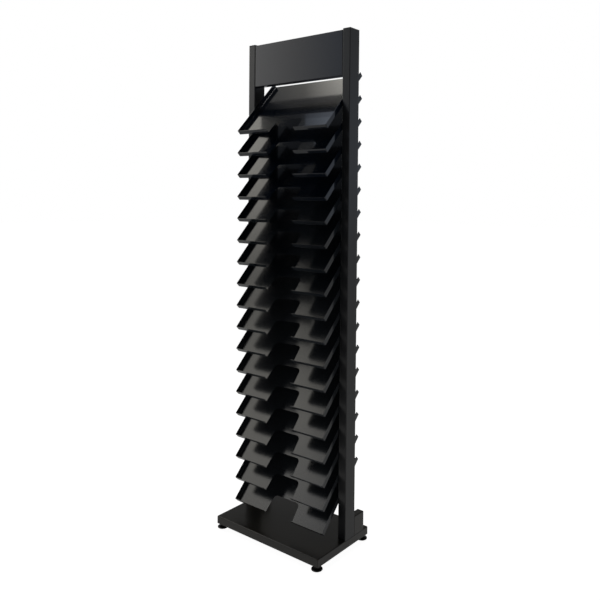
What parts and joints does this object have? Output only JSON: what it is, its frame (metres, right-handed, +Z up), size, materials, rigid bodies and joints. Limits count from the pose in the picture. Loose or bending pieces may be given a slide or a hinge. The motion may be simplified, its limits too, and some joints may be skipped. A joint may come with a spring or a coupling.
{
  "type": "brochure rack",
  "caption": "Tall floor-standing rack: a column of sloping open trays between two posts on a flat base with levelling feet, under a plain header panel.",
  "frame": {"origin": "centre of the base, on the floor", "axes": "+Z up, front of the rack faces -Y, +X to the right seen from the front"},
  "size_m": [0.538, 0.324, 1.99],
  "materials": {
    "frame_coat": "satin fine-texture powder coat",
    "tray_coat": "satin powder coat",
    "header_coat": "satin powder coat",
    "cap_plastic": "moulded",
    "foot_nylon": "moulded, slightly glossy",
    "zinc_steel": "black zinc plated",
    "black_screws": "black oxide"
  },
  "bodies": {
    "rack": {"base_shell": "frame_coat", "left_post": "frame_coat", "right_post": "frame_coat", "left_post_bracket": "frame_coat", "right_post_bracket": "frame_coat", "left_base_rail": "frame_coat", "right_base_rail": "frame_coat", "tray_01": "tray_coat", "tray_02": "tray_coat", "tray_03": "tray_coat", "tray_04": "tray_coat", "tray_05": "tray_coat", "tray_06": "tray_coat", "tray_07": "tray_coat", "tray_08": "tray_coat", "tray_09": "tray_coat", "tray_10": "tray_coat", "tray_11": "tray_coat", "tray_12": "tray_coat", "tray_13": "tray_coat", "tray_14": "tray_coat", "tray_15": "tray_coat", "tray_16": "tray_coat", "tray_17": "tray_coat", "tray_18": "tray_coat", "header_panel": "header_coat", "left_post_cap": "cap_plastic", "right_post_cap": "cap_plastic", "foot_weld_nuts": "zinc_steel", "foot_jam_nuts": "zinc_steel", "bracket_base_nuts": "zinc_steel", "bracket_post_nuts": "zinc_steel", "post_bolts": "zinc_steel", "left_post_end_plate": "zinc_steel", "right_post_end_plate": "zinc_steel", "left_tray_screws": "black_screws", "right_tray_screws": "black_screws", "header_screws": "black_screws", "bracket_base_screws": "black_screws", "bracket_post_screws": "black_screws"},
    "front_left_foot": {"front_left_foot_pad": "foot_nylon"},
    "front_left_stud": {"front_left_foot_stud": "zinc_steel"},
    "front_right_foot": {"front_right_foot_pad": "foot_nylon"},
    "front_right_stud": {"front_right_foot_stud": "zinc_steel"},
    "rear_left_foot": {"rear_left_foot_pad": "foot_nylon"},
    "rear_left_stud": {"rear_left_foot_stud": "zinc_steel"},
    "rear_right_foot": {"rear_right_foot_pad": "foot_nylon"},
    "rear_right_stud": {"rear_right_foot_stud": "zinc_steel"}
  },
  "joints": [
    {"name": "front_left_foot_height", "type": "slide", "parent": "rack", "child": "front_left_foot", "axis": [0, 0, -1], "range_m": [0, 0.012]},
    {"name": "front_left_foot_turn", "type": "hinge", "parent": "front_left_foot", "child": "front_left_stud", "pos_m": [-0.248, -0.141, 0.02], "axis": [0, 0, -1], "range_deg": [0, 3456]},
    {"name": "front_right_foot_height", "type": "slide", "parent": "rack", "child": "front_right_foot", "axis": [0, 0, -1], "range_m": [0, 0.012]},
    {"name": "front_right_foot_turn", "type": "hinge", "parent": "front_right_foot", "child": "front_right_stud", "pos_m": [0.248, -0.141, 0.02], "axis": [0, 0, -1], "range_deg": [0, 3456]},
    {"name": "rear_left_foot_height", "type": "slide", "parent": "rack", "child": "rear_left_foot", "axis": [0, 0, -1], "range_m": [0, 0.012]},
    {"name": "rear_left_foot_turn", "type": "hinge", "parent": "rear_left_foot", "child": "rear_left_stud", "pos_m": [-0.248, 0.141, 0.02], "axis": [0, 0, -1], "range_deg": [0, 3456]},
    {"name": "rear_right_foot_height", "type": "slide", "parent": "rack", "child": "rear_right_foot", "axis": [0, 0, -1], "range_m": [0, 0.012]},
    {"name": "rear_right_foot_turn", "type": "hinge", "parent": "rear_right_foot", "child": "rear_right_stud", "pos_m": [0.248, 0.141, 0.02], "axis": [0, 0, -1], "range_deg": [0, 3456]}
  ],
  "couplings": [
    {"joint": "front_left_foot_turn", "follows": "front_left_foot_height", "rad_per_m": 5026.5},
    {"joint": "front_right_foot_turn", "follows": "front_right_foot_height", "rad_per_m": 5026.5},
    {"joint": "rear_left_foot_turn", "follows": "rear_left_foot_height", "rad_per_m": 5026.5},
    {"joint": "rear_right_foot_turn", "follows": "rear_right_foot_height", "rad_per_m": 5026.5}
  ]
}
